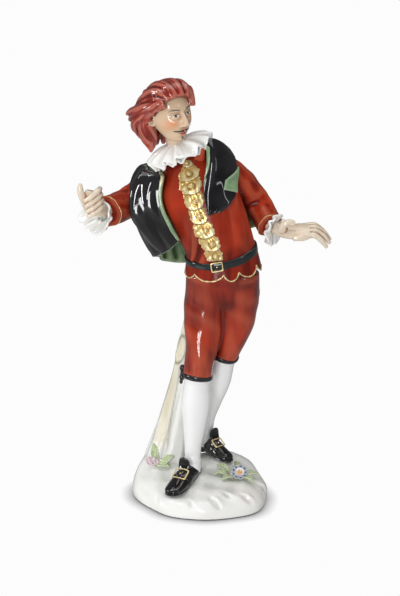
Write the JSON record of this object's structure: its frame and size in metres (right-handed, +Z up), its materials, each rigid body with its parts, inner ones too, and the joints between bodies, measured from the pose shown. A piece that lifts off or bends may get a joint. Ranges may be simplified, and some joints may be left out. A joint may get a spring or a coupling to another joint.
{
  "type": "porcelain comedy figure",
  "caption": "Glazed porcelain figure of a comedy player in a red suit and short lined cloak, standing on a rocky mound.",
  "frame": {"origin": "centre of the mound's flat underside", "axes": "+Z up the figure, -Y to the front he is made to be seen from, +X to his left"},
  "size_m": [0.0828, 0.0454, 0.1449],
  "materials": {
    "porcelain": "glossy clear glaze over white body, painted in enamels with some gilding"
  },
  "bodies": {
    "root": {"figure": "porcelain"}
  },
  "joints": []
}
